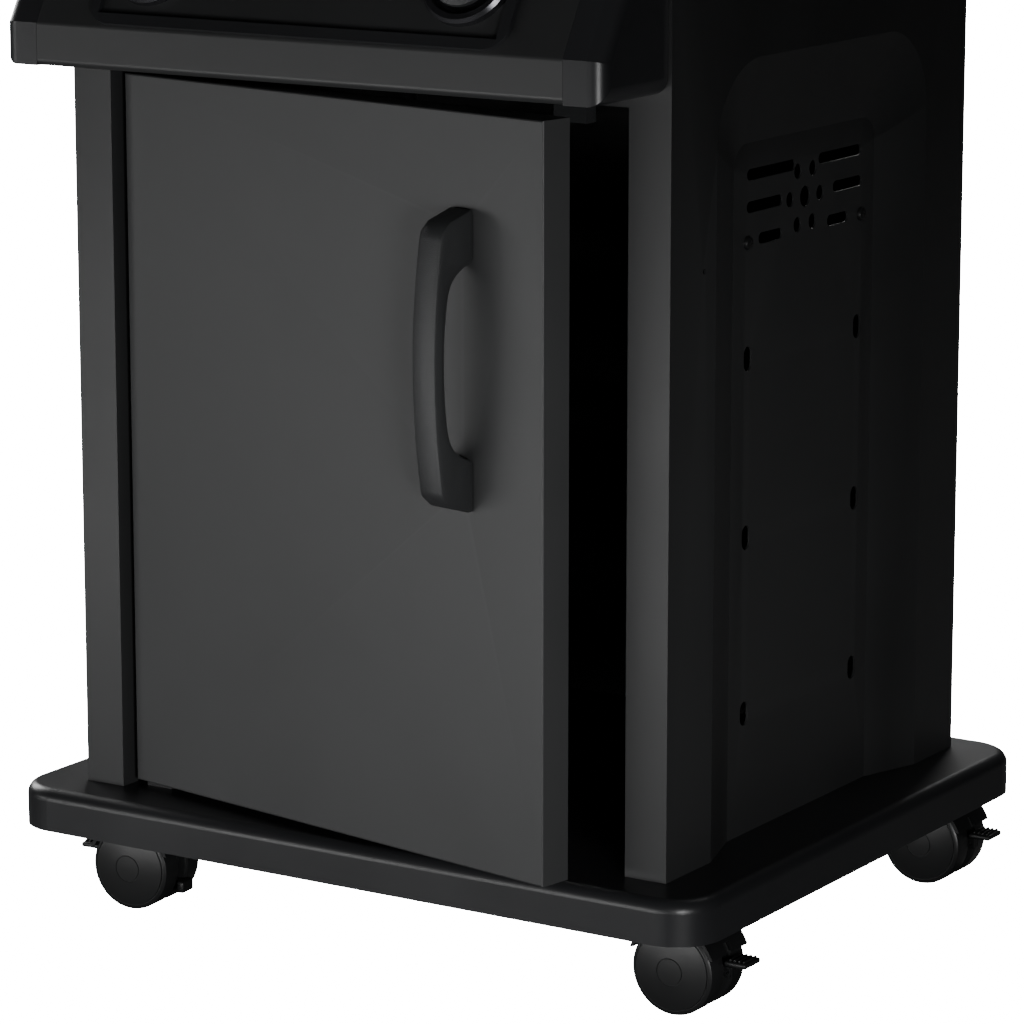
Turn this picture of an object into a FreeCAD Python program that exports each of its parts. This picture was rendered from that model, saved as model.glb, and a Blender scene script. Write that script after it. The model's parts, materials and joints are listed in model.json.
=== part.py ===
"""Two-burner gas barbecue grill on a wheeled cabinet, as a parametric document in millimetres.

Frame: +X to the right seen from the front, +Y to the back, +Z up, origin on the floor in the middle.
"""
import FreeCAD, Part
import Sketcher
import math
import os

DRIVING = {
    "cabinet_width": 500, "cabinet_depth": 431, "sheet_steel": 1.5, "post_width": 33,
    "tray_low": 74, "tray_high": 106, "tray_side": 45.5, "tray_front": 38.5, "tray_rear": 32.5,
    "tray_corner": 36, "tray_wall": 4, "panel_top": 795,
    "recess_half": 154, "recess_floor_half": 103, "recess_depth": 16, "recess_top": 665,
    "slot_pitch": 128, "slot_low": 195, "slot_offset": 80.5, "slot_high": 17.6, "slot_wide": 11,
    "door_width": 408, "door_low": 110, "door_top": 636, "door_thick": 26, "door_angle": 10.4,
    "hinge_x": -194, "hinge_y": -194, "pin_radius": 3, "running_gap": 0.06,
    "handle_reach": 334, "handle_low": 362, "handle_high": 572, "handle_wide": 22,
    "console_half": 247, "console_front": 299.5, "console_low": 650, "console_edge": 680,
    "console_slope": 30, "console_face": 107, "cap_width": 30,
    "knob_x": 129, "knob_up": 52.7, "bezel_radius": 34.7, "knob_radius": 24,
    "wheel_radius": 32.5, "wheel_wide": 20, "caster_trail": 22, "stem_radius": 5.5,
    "firebox_half": 232, "firebox_front": 205, "firebox_rear": 200, "firebox_low": 690,
    "firebox_rim": 850, "firebox_wall": 2.5,
    "lid_half": 246, "lid_front": 222, "lid_rear": 208, "lid_base": 853,
    "lid_wall": 2, "shelf_top": 862, "shelf_thick": 24, "shelf_length": 262,
    "shelf_half": 190, "shelf_start": 262,
}

doc = FreeCAD.newDocument("gas_barbecue_grill")
sheet = doc.addObject("Spreadsheet::Sheet", "Sizes")


class Size:
    """A length that keeps both its value and the sheet expression it is worked out with."""

    def __init__(self, value, text):
        self.value = value
        self.text = text

    def __add__(self, other):
        other = size(other)
        return Size(self.value + other.value, f"({self.text} + {other.text})")

    def __sub__(self, other):
        other = size(other)
        return Size(self.value - other.value, f"({self.text} - {other.text})")

    def __rsub__(self, other):
        return size(other) - self

    def __mul__(self, other):
        other = size(other)
        return Size(self.value * other.value, f"({self.text} * {other.text})")

    def __truediv__(self, other):
        other = size(other)
        return Size(self.value / other.value, f"({self.text} / {other.text})")

    def __neg__(self):
        return Size(-self.value, f"(0 - {self.text})")

    __radd__ = __add__
    __rmul__ = __mul__


def size(number):
    """Turn a plain number into a Size."""
    if isinstance(number, Size):
        return number
    return Size(float(number), f"({float(number)!r})")


def fill_sheet():
    """Write every driving dimension to the sheet and give its cell an alias."""
    for row, (alias, number) in enumerate(DRIVING.items(), start=1):
        sheet.set(f"A{row}", alias)
        sheet.set(f"B{row}", str(number))
        sheet.setAlias(f"B{row}", alias)
    doc.recompute()


def dim(alias):
    return Size(float(DRIVING[alias]), f"Sizes.{alias}")


fill_sheet()
X_AXIS = FreeCAD.Vector(1, 0, 0)
Y_AXIS = FreeCAD.Vector(0, 1, 0)
Z_AXIS = FreeCAD.Vector(0, 0, 1)
TURN_TO = {"x": FreeCAD.Rotation(Y_AXIS, 90), "y": FreeCAD.Rotation(X_AXIS, -90), "z": FreeCAD.Rotation()}
SUBPARTS = {}
counter = [0]


def new_name(kind):
    counter[0] += 1
    return f"{kind}_{counter[0]}"


def bind(item, **sizes):
    """Bind properties of a document object to the sheet."""
    for name, amount in sizes.items():
        item.setExpression(name, size(amount).text)
    return item


def place(item, position):
    """Bind the base point of an object's placement to the sheet."""
    for axis, amount in zip("xyz", position):
        item.setExpression(f"Placement.Base.{axis}", size(amount).text)
    return item


def box(low, high):
    """A block between two corners."""
    low = [size(value) for value in low]
    high = [size(value) for value in high]
    item = doc.addObject("Part::Box", new_name("Block"))
    bind(item, Length=high[0] - low[0], Width=high[1] - low[1], Height=high[2] - low[2])
    return place(item, low)


def rod(axis, start, radius, length):
    """A round bar from a start point along +x, +y or +z."""
    item = doc.addObject("Part::Cylinder", new_name("Rod"))
    item.Placement = FreeCAD.Placement(FreeCAD.Vector(), TURN_TO[axis])
    bind(item, Radius=radius, Height=length)
    return place(item, start)


def fuse(*items):
    """Join pieces into one."""
    item = doc.addObject("Part::MultiFuse", new_name("Join"))
    item.Shapes = list(items)
    item.Refine = True
    return item


def cut(base, *tools):
    """Take tools away from a base piece."""
    item = doc.addObject("Part::Cut", new_name("Cut"))
    item.Base = base
    item.Tool = tools[0] if len(tools) == 1 else fuse(*tools)
    item.Refine = True
    return item


def group(*items):
    """Keep several separate solids together as one sub-part."""
    item = doc.addObject("Part::Compound", new_name("Group"))
    item.Links = list(items)
    return item


def round_edges(base, radius, chosen):
    """Fillet the edges of a piece whose midpoint and direction pass the test."""
    doc.recompute()
    picked = [
        (number, radius, radius)
        for number, edge in enumerate(base.Shape.Edges, start=1)
        if chosen(edge.CenterOfMass, edge)
    ]
    item = doc.addObject("Part::Fillet", new_name("Round"))
    item.Base = base
    item.Edges = picked
    return item


def keep(label, item):
    """Name a finished sub-part after its node."""
    item.Label = label
    SUBPARTS[label] = item
    return item


def turned(item, pivot, axis, angle):
    """A copy of a piece turned by an angle about a fixed line."""
    doc.recompute()
    copy = doc.addObject("Part::Compound", new_name("Turned"))
    copy.Links = [item]
    spin = FreeCAD.Rotation(axis, angle)
    copy.Placement = FreeCAD.Placement(pivot - spin.multVec(pivot), spin)
    return copy


PLANE_OF = {"xy": "XY_Plane", "xz": "XZ_Plane", "yz": "YZ_Plane"}


def start_body(label):
    return doc.addObject("PartDesign::Body", f"{label}_body")


def outline(body, plane, points, offset=0):
    """A closed sketch through corner points, each held by two distances from the origin."""
    sketch = body.newObject("Sketcher::SketchObject", new_name("Outline"))
    planes = {feature.Role: feature for feature in body.Origin.OriginFeatures}
    sketch.AttachmentSupport = [(planes[PLANE_OF[plane]], "")]
    sketch.MapMode = "FlatFace"
    sketch.setExpression("AttachmentOffset.Base.z", size(offset).text)
    corners = [(size(across), size(up)) for across, up in points]
    vectors = [FreeCAD.Vector(across.value, up.value, 0) for across, up in corners]
    for first, second in zip(vectors, vectors[1:] + vectors[:1]):
        sketch.addGeometry(Part.LineSegment(first, second), False)
    last = len(vectors)
    for line in range(last):
        sketch.addConstraint(Sketcher.Constraint("Coincident", line, 2, (line + 1) % last, 1))
    for line, (across, up) in enumerate(corners):
        for kind, amount in (("DistanceX", across), ("DistanceY", up)):
            number = sketch.addConstraint(Sketcher.Constraint(kind, -1, 1, line, 1, amount.value))
            sketch.setExpression(f"Constraints[{number}]", amount.text)
    return sketch


def pad(body, sketch, length, reversed_side=False, both=False):
    feature = body.newObject("PartDesign::Pad", new_name("Pad"))
    feature.Profile = sketch
    feature.Reversed = reversed_side
    feature.Midplane = both
    return bind(feature, Length=length)


def fillet_body(body, radius, chosen):
    """Round the edges of a body's last feature that pass the test."""
    doc.recompute()
    base = body.Tip
    names = [
        f"Edge{number}"
        for number, edge in enumerate(base.Shape.Edges, start=1)
        if chosen(edge.CenterOfMass, edge)
    ]
    feature = body.newObject("PartDesign::Fillet", new_name("Round"))
    feature.Base = (base, names)
    return bind(feature, Radius=radius)


def revolve_body(label, points):
    """A body turned from half its section about Z: points are (radius, height)."""
    body = start_body(label)
    sketch = outline(body, "xz", points)
    feature = body.newObject("PartDesign::Revolution", new_name("Turn"))
    feature.Profile = sketch
    feature.ReferenceAxis = (sketch, ["V_Axis"])
    feature.Angle = 360
    return body


def arch(low, top, half, radius, at_x):
    """A standing sketch in the YZ plane at a given X: straight foot, two rounded top corners."""
    low, top, half, radius, at_x = (size(value) for value in (low, top, half, radius, at_x))
    sketch = doc.addObject("Sketcher::SketchObject", new_name("Arch"))
    sketch.Placement = FreeCAD.Placement(FreeCAD.Vector(), FreeCAD.Rotation(0.5, 0.5, 0.5, 0.5))
    sketch.setExpression("Placement.Base.x", at_x.text)
    left, right = -half.value, half.value
    shoulder = top.value - radius.value
    foot = low.value
    points = [(left, foot), (left, shoulder), (left + radius.value, top.value),
              (right - radius.value, top.value), (right, shoulder), (right, foot)]
    corner = [FreeCAD.Vector(across, up, 0) for across, up in points]
    centres = [FreeCAD.Vector(side, shoulder, 0) for side in (left + radius.value, right - radius.value)]
    sketch.addGeometry(Part.LineSegment(corner[0], corner[1]), False)
    full = Part.Circle(centres[0], FreeCAD.Vector(0, 0, 1), radius.value)
    sketch.addGeometry(Part.ArcOfCircle(full, math.pi / 2, math.pi), False)
    sketch.addGeometry(Part.LineSegment(corner[2], corner[3]), False)
    full = Part.Circle(centres[1], FreeCAD.Vector(0, 0, 1), radius.value)
    sketch.addGeometry(Part.ArcOfCircle(full, 0, math.pi / 2), False)
    sketch.addGeometry(Part.LineSegment(corner[4], corner[5]), False)
    sketch.addGeometry(Part.LineSegment(corner[5], corner[0]), False)
    for joined in ((0, 2, 1, 2), (1, 1, 2, 1), (2, 2, 3, 2), (3, 1, 4, 1)):
        sketch.addConstraint(Sketcher.Constraint("Tangent", *joined))
    sketch.addConstraint(Sketcher.Constraint("Coincident", 4, 2, 5, 1))
    sketch.addConstraint(Sketcher.Constraint("Coincident", 5, 2, 0, 1))
    for line in (0, 4):
        sketch.addConstraint(Sketcher.Constraint("Vertical", line))
    sketch.addConstraint(Sketcher.Constraint("Horizontal", 5))
    sketch.addConstraint(Sketcher.Constraint("Equal", 1, 3))
    held = [
        (Sketcher.Constraint("Radius", 1, radius.value), radius),
        (Sketcher.Constraint("DistanceX", -1, 1, 0, 1, left), -half),
        (Sketcher.Constraint("DistanceY", -1, 1, 0, 1, foot), low),
        (Sketcher.Constraint("DistanceX", -1, 1, 4, 2, right), half),
        (Sketcher.Constraint("DistanceY", -1, 1, 2, 1, top.value), top),
    ]
    for constraint, amount in held:
        number = sketch.addConstraint(constraint)
        sketch.setExpression(f"Constraints[{number}]", amount.text)
    return sketch


def loft(*sections):
    """A solid between sketches."""
    item = doc.addObject("Part::Loft", new_name("Loft"))
    item.Sections = list(sections)
    item.Solid = True
    item.Ruled = True
    return item


def mirrored(item, normal=X_AXIS):
    """The mirror image of a piece across a plane through the origin."""
    copy = doc.addObject("Part::Mirroring", new_name("Mirror"))
    copy.Source = item
    copy.Normal = normal
    return copy


def near(value, target, slack=0.1):
    return abs(value - target) < slack


# Shared sizes
STEEL = dim("sheet_steel")
HALF_WIDE = dim("cabinet_width") / 2
HALF_DEEP = dim("cabinet_depth") / 2
TRAY_TOP = dim("tray_high")
POST_INNER = HALF_WIDE - dim("post_width")
CASTERS = {
    "front_left": (-215, -161, 184), "front_right": (215, -161, 0),
    "rear_left": (-215, 216, 180), "rear_right": (215, 216, 0),
}
STEM_TOP = 96
PLAY = dim("running_gap")


def base_tray():
    """Moulded tray with a skirt, rounded corners and a boss for each caster stem."""
    side = HALF_WIDE + dim("tray_side")
    front = -(HALF_DEEP + dim("tray_front"))
    rear = HALF_DEEP + dim("tray_rear")
    corner = dim("tray_corner")
    wall = dim("tray_wall")
    body = start_body("base_tray")
    footprint = [(-side, front), (side, front), (side, rear), (-side, rear)]
    sketch = outline(body, "xy", footprint, dim("tray_low"))
    pad(body, sketch, TRAY_TOP - dim("tray_low"))
    fillet_body(body, corner, lambda middle, edge: near(middle.z, 90) and edge.Length < 40)
    fillet_body(body, 9, lambda middle, edge: near(middle.z, 106))
    hollow = doc.addObject("PartDesign::Body", "tray_hollow")
    inside = [(-side + wall, front + wall), (side - wall, front + wall),
              (side - wall, rear - wall), (-side + wall, rear - wall)]
    sketch = outline(hollow, "xy", inside, dim("tray_low") - 1)
    pad(hollow, sketch, TRAY_TOP - dim("tray_low") - wall + 1)
    fillet_body(hollow, corner - wall, lambda middle, edge: near(middle.z, 87.5, 1) and edge.Length < 40)
    fillet_body(hollow, 5, lambda middle, edge: near(middle.z, 102))
    shell = cut(body, hollow)
    bosses = [rod("z", (x, y, 75), 13, TRAY_TOP - wall - 75 + 0.5) for x, y, turn in CASTERS.values()]
    ribs = [box((x - 1.5, front + wall - 1, 84), (x + 1.5, rear - wall + 1, TRAY_TOP - wall + 0.5))
            for x in (-110, 0, 110)]
    bores = [rod("z", (x, y, 70), dim("stem_radius"), STEM_TOP - 70) for x, y, turn in CASTERS.values()]
    keep("base_tray", cut(fuse(shell, *bosses, *ribs), *bores))


def slot_hole(low_y, high_y, height_z, high, from_x, to_x):
    """A slot tool with round ends, lying along Y."""
    half = high / 2
    middle = box((from_x, low_y + half, height_z - half), (to_x, high_y - half, height_z + half))
    ends = [rod("x", (from_x, y, height_z), half, to_x - from_x) for y in (low_y + half, high_y - half)]
    return fuse(middle, *ends)


VENT_ROWS = [(580.4, -84, -15), (580.4, 19, 83), (557.7, -84, -33), (557.7, 41, 85),
             (534, -67, -33), (534, 33, 64)]


def side_panels():
    """Folded side panel with a pressed recess, vents and hanging slots; the left one mirrors it."""
    outer = HALF_WIDE
    inner = outer - STEEL
    floor = outer - dim("recess_depth")
    top = dim("panel_top")
    sheet_part = box((inner, -HALF_DEEP, TRAY_TOP), (outer, HALF_DEEP, top))
    post = box((POST_INNER, -HALF_DEEP, TRAY_TOP), (outer, -HALF_DEEP + STEEL, top))
    returned = box((POST_INNER, -HALF_DEEP, TRAY_TOP),
                   (POST_INNER + STEEL, -HALF_DEEP + 18, dim("firebox_low") - 5))
    back = box((outer - 20, HALF_DEEP - STEEL, TRAY_TOP), (outer, HALF_DEEP, top))
    half, half_in = dim("recess_half"), dim("recess_floor_half")
    high, low_in = dim("recess_top"), 603
    tub = loft(arch(TRAY_TOP, high + STEEL, half + STEEL, 62, outer),
               arch(TRAY_TOP, low_in + STEEL, half_in + STEEL, 20, floor - STEEL))
    press = loft(arch(TRAY_TOP - 1, high, half, 60, outer + 0.02),
                 arch(TRAY_TOP - 1, low_in, half_in, 18, floor))
    near_x, far_x = floor - STEEL - 1, floor + 1
    slots = [slot_hole(low_y, high_y, z, 8, near_x, far_x) for z, low_y, high_y in VENT_ROWS]
    ring = [rod("x", (near_x, 22 * math.cos(turn), 556 + 22 * math.sin(turn)), 5.5, far_x - near_x)
            for turn in (math.pi / 3 * step for step in range(6))]
    centre = rod("x", (near_x, 0, 556), 7.5, far_x - near_x)
    screws = [rod("x", (near_x, y, 533), 2.1, far_x - near_x) for y in (-83, 83)]
    hooks = []
    reach = dim("slot_high") / 2 - dim("slot_wide") / 2
    for y in (-dim("slot_offset"), dim("slot_offset")):
        for step in range(3):
            z = dim("slot_low") + dim("slot_pitch") * step
            half_slot = dim("slot_wide") / 2
            hooks.append(box((near_x, y - half_slot, z - reach), (far_x, y + half_slot, z + reach)))
            hooks.append(rod("x", (near_x, y, z - reach), half_slot, far_x - near_x))
            hooks.append(rod("x", (near_x, y, z + reach), half_slot, far_x - near_x))
    pin_hole = rod("x", (inner - 1, -170, 526), 2, STEEL + 2)
    folded = fuse(sheet_part, post, returned, back, tub)
    right = cut(folded, press, *slots, *ring, centre, *screws, *hooks, pin_hole)
    keep("right_side_panel", right)
    keep("left_side_panel", mirrored(right))


def back_and_rails():
    """Rear panel with vents, front and rear cross rails, and the screws that hold them."""
    inside = HALF_WIDE - 20.3
    top = 650
    plate = box((-inside, HALF_DEEP - STEEL, TRAY_TOP), (inside, HALF_DEEP, top))
    lips = [box((side, HALF_DEEP - 16, TRAY_TOP), (side + STEEL, HALF_DEEP, top))
            for side in (-inside, inside - STEEL)]
    top_lip = box((-inside, HALF_DEEP - 12, top - STEEL), (inside, HALF_DEEP, top))
    vents = [box((x - 38, HALF_DEEP - 3, z), (x + 38, HALF_DEEP + 1, z + 8))
             for x in (-155, 155) for z in (195, 215, 235)]
    keep("rear_panel", cut(fuse(plate, *lips, top_lip), *vents))
    wide = inside - STEEL - 0.3
    channel = cut(box((-wide, HALF_DEEP - 32, 600), (wide, HALF_DEEP - 17, 630)),
                  box((-wide - 1, HALF_DEEP - 30.5, 601.5), (wide + 1, HALF_DEEP - 18.5, 631)))
    tabs = [box((side * 190 - 12, HALF_DEEP - 18, 602), (side * 190 + 12, HALF_DEEP - STEEL, 604))
            for side in (-1, 1)]
    channel = fuse(channel, *tabs)
    keep("rear_rail", channel)
    span = POST_INNER - 0.2
    rail = cut(box((-span, -HALF_DEEP + 0.5, 640), (span, -HALF_DEEP + 20, 690)),
               box((-span - 1, -HALF_DEEP + 2, 641.5), (span + 1, -HALF_DEEP + 21, 688.5)))
    keep("front_rail", rail)
    heads = []
    for side in (-1, 1):
        for z in (160, 360, 540):
            heads.append(rod("y", (side * (inside.value - 8), HALF_DEEP, z), 4, 2.2))
    keep("panel_screws", group(*heads))


def door():
    """Inset door: a folded skin, a liner, a bowed pull handle and its screws, standing ajar."""
    pivot = FreeCAD.Vector(dim("hinge_x").value, dim("hinge_y").value, 0)
    ajar = -dim("door_angle").value
    left = dim("hinge_x") - 15
    right = left + dim("door_width")
    front = dim("hinge_y") - 15
    back = front + dim("door_thick")
    low, top = dim("door_low"), dim("door_top")
    body = start_body("door_skin")
    sketch = outline(body, "xy", [(left, front), (right, front), (right, back), (left, back)], low)
    pad(body, sketch, top - low)
    fillet_body(body, 1.2, lambda middle, edge: near(middle.y, -209) and edge.Length > 300)
    room = box((left + STEEL, front + STEEL, low + STEEL), (right - STEEL, back + 1, top - STEEL))
    eyes = [rod("z", (dim("hinge_x"), dim("hinge_y"), z), dim("pin_radius") + PLAY, 4)
            for z in (low - 1, top - 3)]
    grip_x = left + dim("handle_reach")
    grip_z = [dim("handle_low") + 14, dim("handle_high") - 14]
    holes = [rod("y", (grip_x, front - 1, z), 2.2, 4) for z in grip_z]
    keep("door_skin", turned(cut(body, room, *eyes, *holes), pivot, Z_AXIS, ajar))
    inset = STEEL + 0.3
    plate = box((left + inset, back - 1.2, low + inset), (right - inset, back, top - inset))
    spacer = [box((x, front + STEEL + 0.1, z), (x + 10, back - 1, z + 10))
              for x in (-120, 80) for z in (200, 560)]
    relief = rod("z", (dim("hinge_x"), dim("hinge_y"), low), 9, top - low)
    strike = box((135, back, 622), (165, back + 0.6, 634))
    keep("door_liner", turned(cut(fuse(plate, *spacer), relief), pivot, Z_AXIS, ajar))
    keep("door_strike_plate", turned(strike, pivot, Z_AXIS, ajar))
    bottom, head = dim("handle_low"), dim("handle_high")
    middle = (bottom + head) / 2
    face = front - 32
    side_view = [
        (front, bottom), (face + 9, bottom + 7), (face, bottom + 18), (face - 5, middle - 50),
        (face - 7, middle), (face - 5, middle + 50), (face, head - 18), (face + 9, head - 7), (front, head),
        (front, head - 32), (front - 10, head - 36), (face + 12, head - 52), (face + 6, middle + 45),
        (face + 4, middle), (face + 6, middle - 45), (face + 12, bottom + 48), (front - 10, bottom + 36),
        (front, bottom + 32)]
    body = start_body("door_handle")
    sketch = outline(body, "yz", side_view, grip_x)
    pad(body, sketch, dim("handle_wide"), both=True)
    fillet_body(body, 3, lambda centre, edge: abs(centre.x - grip_x.value) > 8 and centre.y < -214)
    bores = [rod("y", (grip_x, front - 16, z), 2.05, 17) for z in grip_z]
    keep("door_handle", turned(cut(body, *bores), pivot, Z_AXIS, ajar))
    screws = [fuse(rod("y", (grip_x, front - 14, z), 2, 16), rod("y", (grip_x, front + STEEL, z), 4, 2))
              for z in grip_z]
    keep("door_handle_screws", turned(group(*screws), pivot, Z_AXIS, ajar))
    x, y = dim("hinge_x"), dim("hinge_y")
    pin = dim("pin_radius")
    foot = fuse(box((x - 10, y - 9, TRAY_TOP), (x + 12, y + 9, TRAY_TOP + 3)),
                rod("z", (x, y, TRAY_TOP + 1), pin, 14))
    cap = fuse(box((x - 10, y - 9, 637.5), (x + 12, y + 9, 640)), rod("z", (x, y, 625), pin, 14))
    keep("door_hinge_pins", group(foot, cap))
    catch = fuse(box((137, back + 1, 622), (163, back + 14, 636)),
                 box((137, back + 4, 635), (163, back + 16, 640)))
    keep("door_magnet", catch)


def caster_parts():
    """Twin-wheel casters: a pressed-in stem, a hood that swivels, a wheel pair and a brake lever."""
    trail = dim("caster_trail")
    radius = dim("wheel_radius")
    wide = dim("wheel_wide")
    stems = []
    for name, (x, y, turn) in CASTERS.items():
        axle = radius
        spot = FreeCAD.Placement(FreeCAD.Vector(x, y, 0), FreeCAD.Rotation(Z_AXIS, turn))
        stem = revolve_body("stem_" + name, [
            (0, 54), (4, 54), (4, 68.5), (8, 68.5), (8, 74), (dim("stem_radius") - 0.02, 75),
            (dim("stem_radius") - 0.02, 94), (4, STEM_TOP - 0.5), (0, STEM_TOP - 0.5)])
        stem.Placement = spot
        stems.append(stem)
        web = fuse(rod("y", (trail, -3, axle), 27, 6), box((-8, -3, 46), (trail, 3, 66)))
        neck = rod("z", (0, 0, 46), 8.5, 22)
        shroud = cut(rod("y", (trail, -25, axle), radius + 3.4, 50),
                     rod("y", (trail, -26, axle), radius + 1, 52),
                     box((-30, -27, -10), (80, 27, axle + 13)),
                     box((trail - 40, -27, 60), (trail - 24, 27, 70)))
        hub_hole = rod("y", (trail, -4, axle), 4 + PLAY, 8)
        stem_hole = rod("z", (0, 0, 52), 4 + PLAY, 20)
        joined = cut(fuse(web, shroud, neck), hub_hole, stem_hole, rod("y", (trail, -27, axle), radius + 1, 23.5),
                     rod("y", (trail, 3.5, axle), radius + 1, 23.5))
        lever_slot = box((trail + 20, -4, axle - 12), (trail + 44, 4, axle + 20))
        pivot_x = trail + 33
        ears = [box((trail + 17, low_y, axle - 3.5), (pivot_x + 3, low_y + 1.4, axle + 3.5))
                for low_y in (-3.7, 2.3)]
        ear_hole = rod("y", (pivot_x, -5, axle), 1.5 + PLAY, 10)
        hood = cut(fuse(cut(joined, lever_slot), *ears), ear_hole)
        hood_at = group(hood)
        hood_at.Placement = spot
        keep(f"{name}_caster_hood", hood_at)
        half = revolve_body("wheel_" + name, [
            (0, 4.2), (10, 4.2), (10, 5), (radius - 1.5, 5), (radius, 6.5), (radius, 4.2 + wide - 5),
            (radius - 3, 4.2 + wide - 1.5), (22, 26), (0, 27)])
        disc = group(half)
        disc.Placement = FreeCAD.Placement(FreeCAD.Vector(trail.value, 0, axle.value), TURN_TO["y"])
        other = mirrored(disc, Y_AXIS)
        wheels = fuse(disc, other, rod("y", (trail, -6, axle), 4, 12))
        wheels_at = group(wheels)
        wheels_at.Placement = spot
        keep(f"{name}_caster_wheels", wheels_at)
        lever = fuse(box((trail + 29.5, -2, axle - 5), (trail + 36, 2, axle + 9)),
                     rod("y", (pivot_x, -3.7, axle), 1.5, 7.4),
                     box((trail + 34.5, -11, axle + 6), (trail + 52, 11, axle + 10)),
                     *[box((trail + 38 + 4 * rib, -10, axle + 9), (trail + 39.6 + 4 * rib, 10, axle + 11.5))
                       for rib in range(3)])
        lever_at = group(lever)
        lever_at.Placement = spot
        keep(f"{name}_brake_lever", lever_at)
    keep("caster_stems", group(*stems))


SLOPE = math.radians(DRIVING["console_slope"])
FACE_TURN = FreeCAD.Rotation(X_AXIS, 90 - DRIVING["console_slope"])
KNOBS = {"left": -1, "right": 1}


def on_face(item, x):
    """Stand a piece on the sloped control face, centred at the knob height."""
    up = dim("knob_up")
    holder = group(item)
    holder.Placement = FreeCAD.Placement(FreeCAD.Vector(), FACE_TURN)
    return place(holder, (x, -dim("console_front") + up * math.sin(SLOPE),
                          dim("console_edge") + up * math.cos(SLOPE)))


def console_profile(inset):
    """Side view of the console: upright lower strip, sloped face and flat top."""
    front = -dim("console_front") + inset
    back = -HALF_DEEP - 0.5
    reach = dim("console_face")
    top = dim("console_edge") + reach * math.cos(SLOPE)
    crest = -dim("console_front") + reach * math.sin(SLOPE)
    return [(front, dim("console_low") + inset), (front, dim("console_edge")),
            (crest + inset, top - inset), (back + (2 if inset else 0), top - inset),
            (back + (2 if inset else 0), dim("console_low") + inset)]


def console():
    """Folded control panel between two moulded end caps, with its trim frame."""
    cap = dim("cap_width")
    half = dim("console_half")
    body = start_body("control_panel")
    pad(body, outline(body, "yz", console_profile(0)), (half - cap) * 2 - 0.4, both=True)
    fillet_body(body, 5, lambda middle, edge: edge.Length > 300 and middle.y < -240)
    room = start_body("console_room")
    pad(room, outline(room, "yz", console_profile(2)), half * 2, both=True)
    pipe_gap = box((150, -250, 640), (212, -200, 660))
    bottom_gap = box((-150, -262, 640), (150, -200, 660))
    holes = [on_face(rod("z", (0, 0, -8), 9, 12), dim("knob_x") * side) for side in KNOBS.values()]
    keep("control_panel", cut(body, room, pipe_gap, bottom_gap, *holes))
    low = dim("console_low")
    block = start_body("end_cap")
    pad(block, outline(block, "yz", console_profile(0), half - cap), cap)
    fillet_body(block, 12, lambda middle, edge: near(middle.x, 247) and middle.y < -217.5)
    inside = start_body("end_cap_room")
    pad(inside, outline(inside, "yz", console_profile(3), half - cap - 1), cap - 2)
    fillet_body(inside, 9, lambda middle, edge: near(middle.x, 244) and middle.y < -220)
    right_cap = cut(block, inside)
    keep("panel_end_caps", group(right_cap, mirrored(right_cap)))
    frame = cut(box((-172, -51, 0.1), (172, 50, 3.5)), box((-164, -43, 0), (164, 42, 4)))
    frame = round_edges(frame, 18, lambda middle, edge: near(middle.z, 1.8, 0.2) and abs(middle.x) > 171)
    keep("fascia_frame", on_face(frame, 0))
    bezel = dim("bezel_radius")
    rings = []
    for side_name, side in KNOBS.items():
        x = dim("knob_x") * side
        ring = revolve_body("bezel_" + side_name, [
            (8, 0.1), (bezel, 0.1), (bezel, 5), (bezel - 2, 7.5), (bezel - 6, 7.5), (bezel - 9, 3), (8, 3)])
        rings.append(on_face(ring, x))
        shaft = fuse(rod("z", (0, 0, -22), 3, 37), rod("z", (0, 0, -26), 5, 5))
        keep(side_name + "_valve_stem", on_face(shaft, x))
        radius = dim("knob_radius")
        turned_part = revolve_body("knob_" + side_name, [
            (3 + PLAY, 8), (radius, 8), (radius, 11), (19.5, 14), (18.5, 22), (16.5, 24.5), (0, 24.5),
            (0, 23.5), (3 + PLAY, 23.5)])
        grip = round_edges(box((-4.5, -18, 20), (4.5, 18, 30)), 2, lambda middle, edge: middle.z > 21)
        keep(side_name + "_knob", on_face(fuse(turned_part, grip), x))
    keep("knob_bezels", group(*rings))
    valves = []
    for side in KNOBS.values():
        blank = fuse(box((-12, -12, -44), (12, 12, -20)), rod("z", (0, 0, -20), 7, 12))
        bore = fuse(rod("z", (0, 0, -23), 3 + PLAY, 18), rod("z", (0, 0, -27), 5 + PLAY, 7))
        outlet = rod("y", (0, 12, -32), 4, 16)
        valves.append(on_face(fuse(cut(blank, bore), outlet), dim("knob_x") * side))
    keep("gas_valves", group(*valves))
    pipe = fuse(rod("x", (-155, -227, 696), 7.5, 350), rod("z", (185, -227, 668), 7.5, 30),
                rod("z", (185, -227, 652), 8.3, 18), rod("z", (185, -227, 668), 11, 5))
    joined = fuse(pipe, rod("x", (194, -227, 696), 9, 3))
    tools = [group(on_face(box((-12.2, -12.2, -44.2), (12.2, 12.2, -20)), dim("knob_x") * side))
             for side in KNOBS.values()]
    keep("gas_manifold", cut(joined, *tools))


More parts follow.
